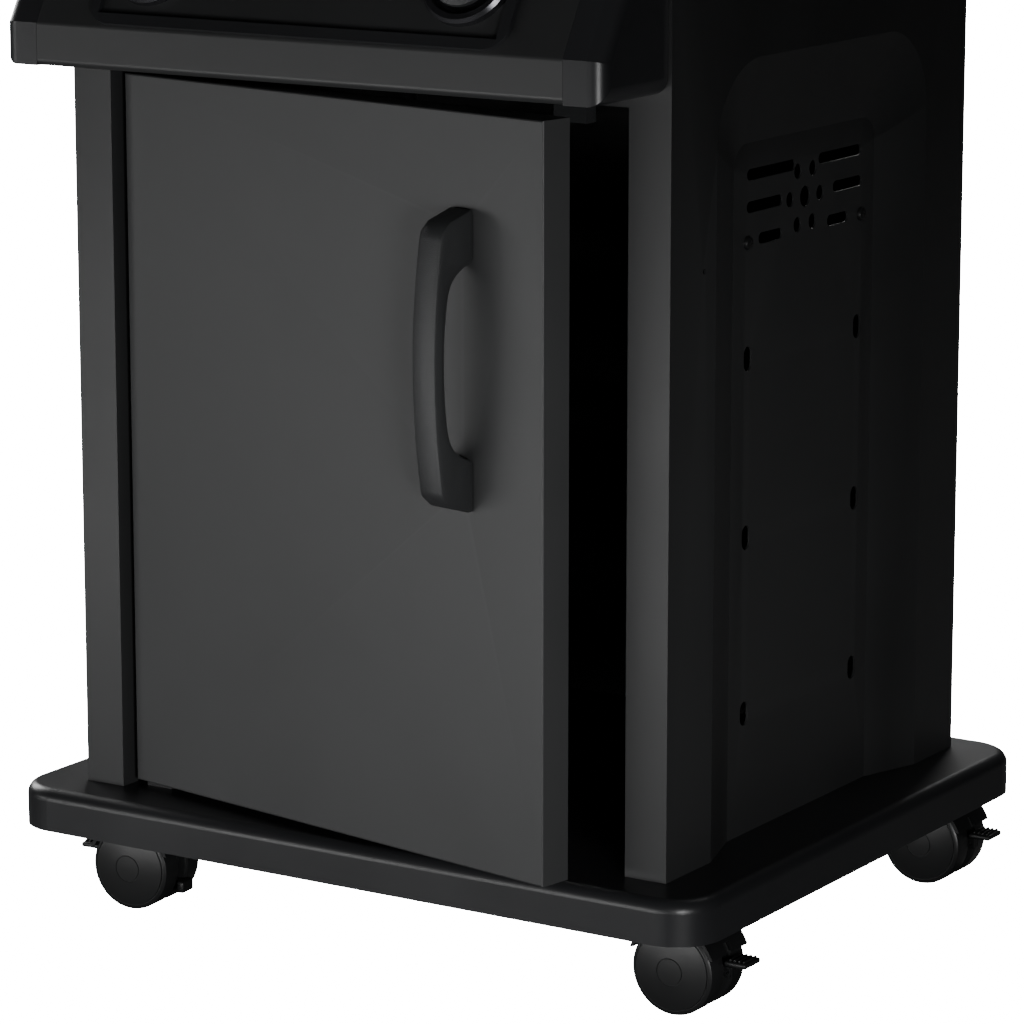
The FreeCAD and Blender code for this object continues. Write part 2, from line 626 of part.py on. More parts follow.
def cooking_body():
    """Firebox with burners, igniters, flame tamers, grates, warming rack and grease tray."""
    half = dim("firebox_half")
    front, rear = -dim("firebox_front"), dim("firebox_rear")
    low, rim, wall = dim("firebox_low"), dim("firebox_rim"), dim("firebox_wall")
    outer = box((-half, front, low), (half, rear, rim))
    flange = box((-HALF_WIDE, -HALF_DEEP + 2, dim("panel_top") + 0.2),
                 (HALF_WIDE, HALF_DEEP - 2, dim("panel_top") + 3))
    ledge = box((-half - 12, front - 12, rim - 3), (half + 12, rear + 12, rim))
    room = box((-half + wall, front + wall, low + wall), (half - wall, rear - wall, rim + 1))
    drain = box((-130, -60, low - 1), (130, 60, low + wall + 1))
    mouths = [rod("y", (x, front - 1, 752), 13, 5) for x in (-110, 110)]
    sparks = [rod("y", (x, front - 1, 772), 3.2, 5) for x in (-60, 60)]
    rests = [box((x, front + wall - 0.5, 818), (x + 4, rear - wall + 0.5, 826))
             for x in (-half + wall - 0.5, half - wall - 3.5)]
    vents = [box((x - 40, rear - 4, 720), (x + 40, rear + 1, 734)) for x in (-130, 0, 130)]
    racks = [box((side * 205 - 6, 183, 805), (side * 205 + 6, rear - wall + 0.5, 815)) for side in (-1, 1)]
    pan = fuse(cut(fuse(outer, flange, ledge), room), *rests, *racks)
    keep("firebox", cut(pan, drain, *mouths, *sparks, *vents))
    for name, x in (("left", -110), ("right", 110)):
        tube = fuse(rod("y", (x, front + 20, 752), 17, 360), rod("y", (x, -214, 752), 12.5, 40),
                    box((x - 12, rear - 34, 692.7), (x + 12, rear - 32, 752)),
                    box((x - 12, front + 30, 692.7), (x + 12, front + 32, 752)))
        bore = rod("y", (x, -215, 752), 11, 385)
        ports = [rod("x", (x - 20, -160 + 24 * step, 756), 1.6, 40) for step in range(14)]
        keep(name + "_burner", cut(tube, bore, *ports))
    tips = [fuse(rod("y", (x, -214, 772), 3, 40), rod("x", (x - (0 if x < 0 else 12), -176, 772), 1.5, 12))
            for x in (-60, 60)]
    keep("igniter_electrodes", group(*tips))
    tamers = []
    for number, x in enumerate((-110, 110)):
        body = start_body("tamer_" + str(number))
        tent = [(x - 52, 778), (x - 50, 776.5), (x, 798), (x + 50, 776.5), (x + 52, 778), (x, 800.2)]
        pad(body, outline(body, "xz", tent, 0), 392, both=True)
        legs = [box((x + off, y, 692.7), (x + off + 4, y + 4, 782)) for off in (-42, 38) for y in (-190, 180)]
        tamers.append(fuse(body, *legs))
    keep("flame_tamers", group(*tamers))
    bar, pitch = 5, 17
    for name, first in (("left", -224), ("right", 3)):
        bars = [box((x, front + 6, 826.3), (x + bar, rear - 16, 838))
                for x in (first + pitch * step for step in range(13))]
        ends = [box((first, y, 826.3), (first + pitch * 12 + bar, y + 8, 836))
                for y in (front + 6, -4, rear - 24)]
        keep(name + "_cooking_grate", fuse(*bars, *ends))
    wires = [rod("x", (-208, 96 + 12 * step, 930), 2.5, 416) for step in range(8)]
    cross = [rod("y", (x, 92, 930.6), 3, 102) for x in (-205, -70, 70, 205)]
    posts = [rod("z", (side * 205, 190, 815.2), 3.6, 116.5) for side in (-1, 1)]
    keep("warming_rack", fuse(*wires, *cross, *posts))
    tray = cut(box((-140, -70, 662), (140, 205, 684)), box((-138, -68, 664), (138, 203, 685)))
    runner = [box((-146, -70, 682.5), (-138, 205, 684)), box((138, -70, 682.5), (146, 205, 684))]
    pull = cut(box((-50, 204, 664), (50, 222, 668)), box((-40, 208, 660), (40, 217, 670)))
    keep("grease_tray", fuse(tray, *runner, pull))
    rails = [fuse(box((side * 148.5 - 1.2, -80, 676), (side * 148.5 + 1.2, 190, 690)),
                  box((side * 144.5 - 3.5, -80, 679), (side * 144.5 + 3.5, 190, 681.5))) for side in (-1, 1)]
    keep("grease_tray_rails", group(*rails))


def lid():
    """Barrel lid with its bar handle, thermometer and rear hinges."""
    half = dim("lid_half")
    front, rear, base = -dim("lid_front"), dim("lid_rear"), dim("lid_base")
    wall = dim("lid_wall")
    middle, radius = (front + rear) / 2, (rear - front) / 2
    crown = base + 40
    barrel = fuse(rod("x", (-half, middle, crown), radius, half * 2),
                  box((-half, front, base), (half, rear, crown)))
    outer = cut(barrel, box((-half - 1, front - 1, 500), (half + 1, rear + 1, base)))
    outer = round_edges(outer, 9, lambda at, edge: near(abs(at.x), half.value) and at.z > 860)
    room = fuse(rod("x", (-half + wall, middle, crown), radius - wall, half * 2 - wall * 2),
                box((-half + wall, front + wall, 840), (half - wall, rear - wall, crown)))
    room = cut(room, box((-half, front, 830), (half, rear, base - 1)))
    room = round_edges(room, 7, lambda at, edge: near(abs(at.x), (half - wall).value) and at.z > 860)
    spine = 216
    ears = [box((side * 190 - 2, rear - 1, base + 1), (side * 190 + 2, spine + 7, base + 15))
            for side in (-1, 1)]
    eyes = [rod("x", (side * 190 - 4, spine, base + 8), 4 + PLAY, 8) for side in (-1, 1)]
    keep("lid_shell", cut(fuse(cut(outer, room), *ears), *eyes))
    bar_y, bar_z, reach = -276, 930, 190
    posts = [fuse(rod("y", (side * 160, bar_y, bar_z), 8, 62), rod("y", (side * 160, -222, bar_z), 12, 6))
             for side in (-1, 1)]
    bar = rod("x", (-reach, bar_y, bar_z), 11, reach * 2)
    keep("lid_handle_posts", group(*[cut(post, outer, bar) for post in posts]))
    ends = round_edges(rod("x", (-reach, bar_y, bar_z), 11, reach * 2), 4,
                       lambda at, edge: edge.Length > 60 and near(abs(at.x), reach))
    keep("lid_handle", ends)
    gauge = fuse(rod("y", (0, -232, 950), 29, 20), rod("y", (0, -236, 950), 25, 6))
    keep("lid_thermometer", cut(gauge, outer))
    brackets = []
    for side in (-1, 1):
        arm = box((side * 197 - 3, 212.2, 820), (side * 197 + 3, spine + 6, base + 14))
        foot = box((side * 197 - 14, 212.2, 820), (side * 197 + 3 * side + 5, 214.2, 846))
        brackets.append(fuse(arm, foot, rod("x", (min(side * 187, side * 197), spine, base + 8), 4, 10)))
    keep("lid_hinge_pins", group(*brackets))


def side_shelves():
    """Drop-down side shelves on friction hinges."""
    start, length = dim("shelf_start"), dim("shelf_length")
    half, top, thick = dim("shelf_half"), dim("shelf_top"), dim("shelf_thick")
    low = top - thick
    pin_z = low + 4
    slab = box((start + 4, -half, low), (start + length, half, top))
    slab = round_edges(slab, 20, lambda at, edge: near(at.x, 524) and near(at.z, 850))
    slab = round_edges(slab, 3, lambda at, edge: near(at.z, 862))
    room = box((start + 3, -half + 3, low - 1), (start + length - 3, half - 3, top - 2.5))
    room = round_edges(room, 17, lambda at, edge: near(at.x, (start + length - 3).value) and edge.Length < 30)
    ribs = [box((start + 4, y - 1.5, low + 4), (start + length - 3, y + 1.5, top - 2)) for y in (-60, 0, 60)]
    lugs, bores, arms, pins = [], [], [], []
    for y in (-120, 120):
        for offset in (-7, 4.2):
            lugs.append(box((start - 6, y + offset, pin_z - 6), (start + 16, y + offset + 2.8, top - 2)))
        bores.append(rod("y", (start, y - 9, pin_z), 3 + PLAY, 18))
        arms.append(fuse(box((start - 17.8, y - 3.8, pin_z - 6), (start + 5, y + 3.8, pin_z + 5)),
                         box((start - 29.8, y - 12, 800), (start - 17, y + 12, 846.8)),
                         rod("y", (start, y - 7.5, pin_z), 3, 15)))
    shelf = cut(fuse(cut(slab, room), *ribs, *lugs), *bores)
    keep("right_side_shelf", shelf)
    keep("left_side_shelf", mirrored(shelf))
    right_arms = group(*arms)
    keep("shelf_brackets", group(right_arms, mirrored(right_arms)))


def write_parts():
    """Check every object, move the origin under the middle of the whole grill, write the STEP files."""
    doc.recompute()
    for item in doc.Objects:
        if "Invalid" in item.State or "Error" in item.State:
            raise RuntimeError(f"{item.Name} ({item.Label}) failed: {item.State}")
    os.makedirs("parts", exist_ok=True)
    shapes = {label: item.Shape.copy() for label, item in SUBPARTS.items()}
    boxes = [shape.optimalBoundingBox(False) for shape in shapes.values()]
    middle_y = (min(box.YMin for box in boxes) + max(box.YMax for box in boxes)) / 2
    print(f"overall y {min(box.YMin for box in boxes):.3f} to {max(box.YMax for box in boxes):.3f}")
    for label, shape in shapes.items():
        shape.translate(FreeCAD.Vector(0, -middle_y, 0))
        if shape.isNull() or not shape.isValid():
            raise RuntimeError(f"{label} has no valid shape")
        print(f"{label}: {len(shape.Solids)} solids, {shape.Volume / 1000:.1f} cm3")
        shape.exportStep(f"parts/{label}.step")


base_tray()
side_panels()
back_and_rails()
door()
caster_parts()
console()
cooking_body()
lid()
side_shelves()
write_parts()
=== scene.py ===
"""Two-burner gas barbecue grill: satin black finishes, caster, knob, handle and gauge detail."""
import json
import math

import bpy
from mathutils import Matrix, Vector


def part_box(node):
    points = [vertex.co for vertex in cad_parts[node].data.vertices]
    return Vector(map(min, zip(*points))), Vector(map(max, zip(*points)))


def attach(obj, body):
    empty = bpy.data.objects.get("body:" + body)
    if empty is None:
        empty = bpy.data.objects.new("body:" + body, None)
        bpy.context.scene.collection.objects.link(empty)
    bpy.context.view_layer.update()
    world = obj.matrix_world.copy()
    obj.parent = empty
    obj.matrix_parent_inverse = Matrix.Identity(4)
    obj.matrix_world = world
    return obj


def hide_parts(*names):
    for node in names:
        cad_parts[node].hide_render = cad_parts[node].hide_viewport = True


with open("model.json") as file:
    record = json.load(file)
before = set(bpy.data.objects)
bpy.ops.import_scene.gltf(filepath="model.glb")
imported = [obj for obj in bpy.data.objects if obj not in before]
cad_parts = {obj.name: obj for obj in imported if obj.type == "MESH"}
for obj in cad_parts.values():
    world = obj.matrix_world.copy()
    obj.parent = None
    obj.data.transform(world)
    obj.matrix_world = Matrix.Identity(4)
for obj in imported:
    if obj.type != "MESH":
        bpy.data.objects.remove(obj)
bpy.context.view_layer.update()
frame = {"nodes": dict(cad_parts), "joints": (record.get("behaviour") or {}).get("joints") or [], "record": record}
MM = 0.001
CORNERS = ("front_left", "front_right", "rear_left", "rear_right")


# ---------------------------------------------------------------- modelling helpers
def deselect():
    """Leave edit mode and select nothing."""
    if bpy.context.object and bpy.context.object.mode == "EDIT":
        bpy.ops.object.mode_set(mode="OBJECT")
    bpy.ops.object.select_all(action="DESELECT")


def settle(piece, name):
    """Name a piece and put its place and turn into its mesh."""
    deselect()
    piece.select_set(True)
    bpy.context.view_layer.objects.active = piece
    bpy.ops.object.transform_apply(location=True, rotation=True, scale=True)
    piece.name = name
    piece.data.name = name
    return piece


def bevelled(piece, width, segments=3, angle=40):
    """Round a piece's edges and apply the modifier."""
    bpy.context.view_layer.objects.active = piece
    modifier = piece.modifiers.new("rounding", "BEVEL")
    modifier.width = width
    modifier.segments = segments
    modifier.angle_limit = math.radians(angle)
    bpy.ops.object.modifier_apply(modifier=modifier.name)
    smooth(piece)
    return piece


def smooth(piece, angle=35):
    """Shade a piece smooth, with creases above the angle in degrees."""
    deselect()
    piece.select_set(True)
    bpy.context.view_layer.objects.active = piece
    bpy.ops.object.shade_smooth_by_angle(angle=math.radians(angle))


def block(size, centre):
    """A block with its size and place in metres."""
    deselect()
    bpy.ops.mesh.primitive_cube_add(size=1, location=centre)
    piece = bpy.context.object
    piece.scale = size
    bpy.ops.object.transform_apply(location=True, rotation=True, scale=True)
    return piece


def turned_shape(profile, steps=64):
    """Spin an outline of (radius, height) points once round Z, as on a lathe."""
    mesh = bpy.data.meshes.new("profile")
    points = [(radius, 0, height) for radius, height in profile]
    mesh.from_pydata(points, [(i, i + 1) for i in range(len(points) - 1)], [])
    piece = bpy.data.objects.new("turned", mesh)
    bpy.context.collection.objects.link(piece)
    deselect()
    piece.select_set(True)
    bpy.context.view_layer.objects.active = piece
    bpy.ops.object.mode_set(mode="EDIT")
    bpy.ops.mesh.select_all(action="SELECT")
    bpy.ops.mesh.spin(steps=steps, angle=math.tau, center=(0, 0, 0), axis=(0, 0, 1))
    bpy.ops.mesh.select_all(action="SELECT")
    bpy.ops.mesh.remove_doubles(threshold=1e-6)
    bpy.ops.mesh.normals_make_consistent(inside=False)
    bpy.ops.object.mode_set(mode="OBJECT")
    return piece


def join(pieces, name):
    """Make one named piece of several."""
    deselect()
    for piece in pieces:
        piece.select_set(True)
    bpy.context.view_layer.objects.active = pieces[0]
    bpy.ops.object.join()
    return settle(pieces[0], name)


def moved(piece, matrix):
    """Carry a finished mesh to its place."""
    piece.data.transform(matrix)
    piece.data.update()
    return piece


# ---------------------------------------------------------------- materials
def finish(name, colour, roughness, metallic=0.0, grain=900.0, bump=0.08, mottle=0.12,
           wear=0.0, specular=0.5, coat=0.0):
    """A coated or moulded surface: fine grain bump, uneven gloss, faint dust and rubbed edges."""
    material = bpy.data.materials.new(name)
    material.use_nodes = True
    nodes, links = material.node_tree.nodes, material.node_tree.links
    shader = nodes["Principled BSDF"]
    shader.inputs["Metallic"].default_value = metallic
    shader.inputs["Specular IOR Level"].default_value = specular
    shader.inputs["Coat Weight"].default_value = coat
    shader.inputs["Coat Roughness"].default_value = 0.12
    place = nodes.new("ShaderNodeTexCoord")
    cloud = nodes.new("ShaderNodeTexNoise")
    cloud.inputs["Scale"].default_value = 9
    cloud.inputs["Detail"].default_value = 6
    links.new(place.outputs["Object"], cloud.inputs["Vector"])
    tone = nodes.new("ShaderNodeValToRGB")
    dark = [channel * (1 - mottle) for channel in colour]
    light = [channel * (1 + mottle) for channel in colour]
    tone.color_ramp.elements[0].position = 0.3
    tone.color_ramp.elements[1].position = 0.7
    tone.color_ramp.elements[0].color = (*dark, 1)
    tone.color_ramp.elements[1].color = (*light, 1)
    links.new(cloud.outputs["Fac"], tone.inputs["Fac"])
    colour_out = tone.outputs["Color"]
    if wear:
        edge = nodes.new("ShaderNodeNewGeometry")
        rubbed = nodes.new("ShaderNodeMapRange")
        rubbed.inputs["From Min"].default_value = 0.52
        rubbed.inputs["From Max"].default_value = 0.66
        rubbed.inputs["To Max"].default_value = wear
        links.new(edge.outputs["Pointiness"], rubbed.inputs["Value"])
        mix = nodes.new("ShaderNodeMix")
        mix.data_type = "RGBA"
        links.new(rubbed.outputs["Result"], mix.inputs["Factor"])
        links.new(colour_out, mix.inputs[6])
        mix.inputs[7].default_value = (*[min(1, channel * 4 + 0.02) for channel in colour], 1)
        colour_out = mix.outputs[2]
    links.new(colour_out, shader.inputs["Base Color"])
    gloss = nodes.new("ShaderNodeMapRange")
    gloss.inputs["To Min"].default_value = max(0.02, roughness - 0.06)
    gloss.inputs["To Max"].default_value = min(1, roughness + 0.06)
    links.new(cloud.outputs["Fac"], gloss.inputs["Value"])
    links.new(gloss.outputs["Result"], shader.inputs["Roughness"])
    fine = nodes.new("ShaderNodeTexNoise")
    fine.inputs["Scale"].default_value = grain
    fine.inputs["Detail"].default_value = 3
    links.new(place.outputs["Object"], fine.inputs["Vector"])
    relief = nodes.new("ShaderNodeBump")
    relief.inputs["Strength"].default_value = bump
    relief.inputs["Distance"].default_value = 0.0006
    links.new(fine.outputs["Fac"], relief.inputs["Height"])
    links.new(relief.outputs["Normal"], shader.inputs["Normal"])
    return material


def brushed(name, colour, roughness, stretch):
    """Metal with fine parallel brushing, finest across the stretched direction."""
    material = finish(name, colour, roughness, metallic=1.0, grain=500, bump=0.05)
    nodes, links = material.node_tree.nodes, material.node_tree.links
    place = nodes["Texture Coordinate"]
    mapping = nodes.new("ShaderNodeMapping")
    mapping.inputs["Scale"].default_value = stretch
    links.new(place.outputs["Object"], mapping.inputs["Vector"])
    for node in nodes:
        if node.type == "TEX_NOISE" and node.inputs["Scale"].default_value > 400:
            links.new(mapping.outputs["Vector"], node.inputs["Vector"])
    return material


STEEL = finish("powder_coat", (0.0178, 0.0183, 0.0188), 0.42, grain=1300, bump=0.12, wear=0.25)
DOOR = finish("door_coat", (0.033, 0.0337, 0.0345), 0.46, grain=1500, bump=0.14, wear=0.3)
TRAY = finish("tray_moulding", (0.016, 0.0165, 0.018), 0.36, grain=700, bump=0.10, wear=0.15)
GRIP = finish("handle_moulding", (0.037, 0.0385, 0.040), 0.33, grain=1500, bump=0.5)
CASTER = finish("caster_moulding", (0.012, 0.0125, 0.013), 0.38, grain=1100, bump=0.12)
WHEEL = finish("wheel_moulding", (0.017, 0.0175, 0.018), 0.34, grain=1100, bump=0.10)
ENAMEL = finish("lid_enamel", (0.014, 0.014, 0.015), 0.22, grain=260, bump=0.10, coat=0.3)
SHELF = finish("shelf_coat", (0.024, 0.025, 0.027), 0.42, grain=1300, bump=0.12, wear=0.2)
IRON = finish("cast_iron", (0.028, 0.027, 0.026), 0.62, grain=420, bump=0.5, mottle=0.3)
ZINC = finish("zinc_plate", (0.50, 0.50, 0.52), 0.32, metallic=1.0, grain=600, bump=0.05)
CHROME = finish("chromed_bezel", (0.11, 0.11, 0.12), 0.24, metallic=0.9, grain=600, bump=0.02)
BRASS = finish("valve_brass", (0.62, 0.45, 0.19), 0.32, metallic=1.0, grain=500, bump=0.06)
STAINLESS = brushed("brushed_stainless", (0.58, 0.57, 0.56), 0.30, (0.03, 1, 1))
ALUMINIUM = brushed("pressed_aluminium", (0.66, 0.66, 0.67), 0.38, (1, 0.04, 1))
CERAMIC = finish("glazed_ceramic", (0.76, 0.73, 0.66), 0.25, grain=300, bump=0.05)
DIAL = finish("dial_enamel", (0.80, 0.79, 0.76), 0.35, grain=300, bump=0.02, mottle=0.03)
# dark print for the dial ticks and needle, also used as painted shade for the screws' cross recesses
PRINT_AND_PAINTED_SHADE = finish("dial_print_and_recess_shade", (0.02, 0.02, 0.02), 0.5, grain=300, bump=0.02)
SLOT_LOOKS = {
    "powder_steel": STEEL, "door_paint": DOOR, "tray_plastic": TRAY, "handle_plastic": GRIP,
    "caster_plastic": CASTER, "wheel_plastic": WHEEL, "zinc_steel": ZINC, "magnet": GRIP,
    "chrome": CHROME, "brass": BRASS, "enamel_steel": ENAMEL, "stainless": STAINLESS,
    "cast_iron": IRON, "ceramic": CERAMIC, "aluminium": ALUMINIUM, "post_metal": TRAY,
    "shelf_paint": SHELF,
}


def dress(piece, material):
    """Give a piece one material."""
    piece.data.materials.clear()
    piece.data.materials.append(material)


def dress_frame():
    """Give every carried-over node the finish of its slot."""
    for entry in frame["record"]["subparts"]:
        dress(frame["nodes"][entry["node"]], SLOT_LOOKS[entry["material_slot"]])
    for node in ("door_hinge_pins", "door_handle_screws"):
        dress(frame["nodes"][node], STEEL)


# ---------------------------------------------------------------- places taken from the frame
JOINTS = {joint["name"]: joint for joint in frame["joints"]}


def joint_point(name):
    """A joint's place in metres."""
    return Vector(JOINTS[name]["pos_m"])


DOOR_PIN = joint_point("door_hinge")
DOOR_AJAR = Matrix.Rotation(math.radians(-10.4), 4, "Z")
DOOR_PLACE = Matrix.Translation((DOOR_PIN.x, DOOR_PIN.y, 0)) @ DOOR_AJAR
CONTROL_TILT = Matrix.Rotation(math.radians(60), 4, "X")


def door_handle():
    """Bowed pull: flat ends, a gentle outward bow and a finger gap with full corners."""
    low, high = 362 * MM, 572 * MM
    middle, half = (low + high) / 2, (high - low) / 2
    width, centre_from_hinge, pin_behind = 22 * MM, 319 * MM, 15 * MM
    face, stand, bow = -pin_behind, 32 * MM, 7 * MM
    front = face - stand
    bow_half, gap_half = half - 19 * MM, half - 37 * MM
    bow_steps, gap_steps, squareness = 24, 40, 11
    outline = [(face, low), (front + 9 * MM, low + 7 * MM), (front + 1 * MM, low + 14 * MM)]
    for step in range(bow_steps + 1):
        along = -1 + 2 * step / bow_steps
        outline.append((front - bow * (1 - along ** 2), middle + along * bow_half))
    outline += [(front + 1 * MM, high - 14 * MM), (front + 9 * MM, high - 7 * MM), (face, high)]
    for step in range(gap_steps + 1):
        along = 1 - 2 * step / gap_steps
        open_share = 1 - abs(along) ** squareness
        grip = 12 * MM - 0.8 * MM * (1 - along ** 2)
        depth = (stand + bow * (1 - along ** 2) - grip) * open_share
        outline.append((face - depth, middle + along * gap_half))
    mesh = bpy.data.meshes.new("handle_side")
    mesh.from_pydata([(0, y, z) for y, z in outline], [], [list(range(len(outline)))])
    piece = bpy.data.objects.new("handle_side", mesh)
    bpy.context.collection.objects.link(piece)
    deselect()
    piece.select_set(True)
    bpy.context.view_layer.objects.active = piece
    bpy.ops.object.mode_set(mode="EDIT")
    bpy.ops.mesh.select_all(action="SELECT")
    bpy.ops.mesh.extrude_region_move(TRANSFORM_OT_translate={"value": (width, 0, 0)})
    bpy.ops.mesh.select_all(action="SELECT")
    bpy.ops.mesh.remove_doubles(threshold=1e-6)
    bpy.ops.mesh.normals_make_consistent(inside=False)
    bpy.ops.object.mode_set(mode="OBJECT")
    bevelled(piece, 3.2 * MM, segments=2, angle=50)
    moved(piece, DOOR_PLACE @ Matrix.Translation((centre_from_hinge - width / 2, 0, 0)))
    settle(piece, "moulded_door_handle")
    dress(piece, GRIP)
    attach(piece, "door")
    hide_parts("door_handle")


# Radius and distance from the middle of the pair, in millimetres: tread, rim, ring line, cap.
WHEEL_SECTION = [
    (0, 4.2), (10, 4.2), (10, 5), (30, 5), (31.6, 5.5), (32.5, 7), (32.5, 21), (32, 22.6), (30.4, 23.7),
    (29.6, 23.9), (29.3, 23.3), (28.7, 23.3), (28.4, 24.1), (24, 25), (18, 25.9), (10.5, 26.6),
    (10.3, 26.1), (9.7, 26.1), (9.5, 26.7), (5, 26.95), (0, 27)]


def caster_wheels(corner):
    """Twin wheels with a domed cap, a ring line and a rounded tread, on one axle."""
    joint = JOINTS[corner + "_roll"]
    section = [(radius * MM, height * MM) for radius, height in WHEEL_SECTION]
    near = turned_shape(section, 72)
    far = near.copy()
    far.data = near.data.copy()
    bpy.context.collection.objects.link(far)
    moved(far, Matrix.Rotation(math.pi, 4, "X"))
    radius, reach = 3.9 * MM, 4.5 * MM
    axle = turned_shape([(0, -reach), (radius, -reach), (radius, reach), (0, reach)], 24)
    pair = join([near, far, axle], corner + "_twin_wheels")
    smooth(pair, 30)
    turn = Vector((0, 0, 1)).rotation_difference(Vector(joint["axis"])).to_matrix().to_4x4()
    moved(pair, Matrix.Translation(joint["pos_m"]) @ turn)
    dress(pair, WHEEL)
    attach(pair, corner + "_wheel_pair")
    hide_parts(corner + "_caster_wheels")


def caster_trim(corner):
    """Brake pedal with a ribbed tread and a release tab on the far side of the wheels."""
    axle = joint_point(corner + "_roll")
    swivel = joint_point(corner + "_swivel")
    heading = math.atan2(axle.y - swivel.y, axle.x - swivel.x)
    place = Matrix.Translation((axle.x, axle.y, axle.z)) @ Matrix.Rotation(heading, 4, "Z")
    tab = bevelled(block((6 * MM, 15 * MM, 9 * MM), (-34 * MM, 0, -15 * MM)), 1.4 * MM)
    arm = bevelled(block((14 * MM, 5 * MM, 4.5 * MM), (-29 * MM, 0, -13 * MM)), 0.8 * MM)
    release = join([tab, arm], corner + "_release_tab")
    moved(release, place)
    dress(release, CASTER)
    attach(release, corner + "_swivel")
    trail, first_rib, rib_pitch = 22 * MM, 16.5 * MM, 3.6 * MM
    plate = bevelled(block((17.6 * MM, 22 * MM, 4 * MM), (21.3 * MM, 0, 8 * MM)), 1.5 * MM)
    shank = bevelled(block((6.5 * MM, 4 * MM, 13 * MM), (10.8 * MM, 0, 1.5 * MM)), 1 * MM)
    rib_size = (1.6 * MM, 18 * MM, 2.4 * MM)
    ribs = [bevelled(block(rib_size, (first_rib + rib_pitch * rib, 0, 10.4 * MM)), 0.6 * MM)
            for rib in range(4)]
    pedal = join([plate, shank, *ribs], corner + "_brake_pedal")
    moved(pedal, place @ Matrix.Translation((trail, 0, 0)))
    dress(pedal, CASTER)
    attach(pedal, corner + "_brake")
    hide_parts(corner + "_brake_lever")


def control_place(side):
    """Centre of a knob on the sloped control face, with Z along the knob's axis."""
    return Matrix.Translation(joint_point(side + "_knob_turn")) @ CONTROL_TILT


def knob_detail(side):
    """Pointer line on the grip."""
    place = control_place(side)
    line = bevelled(block((1.6 * MM, 13 * MM, 0.5 * MM), (0, 10 * MM, 30.1 * MM)), 0.2 * MM)
    moved(line, place)
    settle(line, side + "_pointer_line")
    dress(line, DIAL)
    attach(line, side + "_knob_body")


def pan_screw(name, place, radius, body, material):
    """Pan-head screw whose cross recess is painted shade: two thin dark bars just proud of the head."""
    head = turned_shape([(0, 0), (radius, 0), (radius, 0.25 * radius), (0.86 * radius, 0.5 * radius),
                         (0.5 * radius, 0.64 * radius), (0, 0.7 * radius)], 24)
    # painted shade: the cross recess is not cut; two thin dark blocks lie on the head instead
    bars = [block((size_x * radius, size_y * radius, 0.06 * radius), (0, 0, 0.69 * radius))
            for size_x, size_y in ((0.95, 0.2), (0.2, 0.95))]
    dress(head, material)
    for bar in bars:
        dress(bar, PRINT_AND_PAINTED_SHADE)
    screw = join([head, *bars], name)
    moved(screw, place)
    smooth(screw, 30)
    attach(screw, body)


def side_screws():
    """Two screws beside the vents of each side recess."""
    low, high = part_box("right_side_panel")
    middle = (low.y + high.y) / 2
    recess_depth, height, radius = 16 * MM, 533 * MM, 5 * MM
    for name, side in (("right", 1), ("left", -1)):
        for number, offset in enumerate((-83 * MM, 83 * MM), start=1):
            centre = Vector((side * (high.x - recess_depth), middle + offset, height))
            place = Matrix.Translation(centre) @ Matrix.Rotation(math.radians(90 * side), 4, "Y")
            pan_screw(f"{name}_vent_screw_{number}", place, radius, "cart", CASTER)


def thermometer():
    """Printed dial with ticks, a needle and a rim, facing forward on the lid."""
    low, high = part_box("lid_thermometer")
    centre = Vector(((low.x + high.x) / 2, low.y, (low.z + high.z) / 2))
    place = Matrix.Translation(centre) @ Matrix.Rotation(math.radians(90), 4, "X")
    plate = turned_shape([(0, 0.1 * MM), (22 * MM, 0.1 * MM), (22 * MM, 0.4 * MM), (0, 0.4 * MM)], 64)
    moved(plate, place)
    settle(plate, "thermometer_dial")
    dress(plate, DIAL)
    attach(plate, "lid")
    tick_end, ticks, tick_angle, first_tick, needle_angle = 20, 31, 9, -135, 118
    prints = []
    for step in range(ticks):
        length = 4 if step % 5 == 0 else 2
        tick = block((0.5 * MM, length * MM, 0.12 * MM), (0, 0, 0))
        turn = Matrix.Rotation(math.radians(first_tick + tick_angle * step), 4, "Z")
        outward = Matrix.Translation((0, (tick_end - length / 2) * MM, 0.46 * MM))
        prints.append(moved(tick, place @ turn @ outward))
    needle = block((1.1 * MM, 15 * MM, 0.4 * MM), (0, 0, 0))
    turn = Matrix.Rotation(math.radians(needle_angle), 4, "Z")
    moved(needle, place @ turn @ Matrix.Translation((0, 5 * MM, 0.9 * MM)))
    hub = turned_shape([(0, 0.4 * MM), (2 * MM, 0.4 * MM), (2 * MM, 1.5 * MM), (0, 1.8 * MM)], 24)
    moved(hub, place)
    print_piece = join([*prints, needle, hub], "thermometer_print")
    dress(print_piece, PRINT_AND_PAINTED_SHADE)
    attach(print_piece, "lid")
    rim = turned_shape([(21.6 * MM, 0), (25.6 * MM, 0), (25.9 * MM, 1.2 * MM), (24.6 * MM, 2.4 * MM),
                        (22.6 * MM, 2.2 * MM), (21.6 * MM, 1 * MM), (21.6 * MM, 0)], 72)
    moved(rim, place)
    settle(rim, "thermometer_rim")
    smooth(rim, 40)
    dress(rim, STAINLESS)
    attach(rim, "lid")


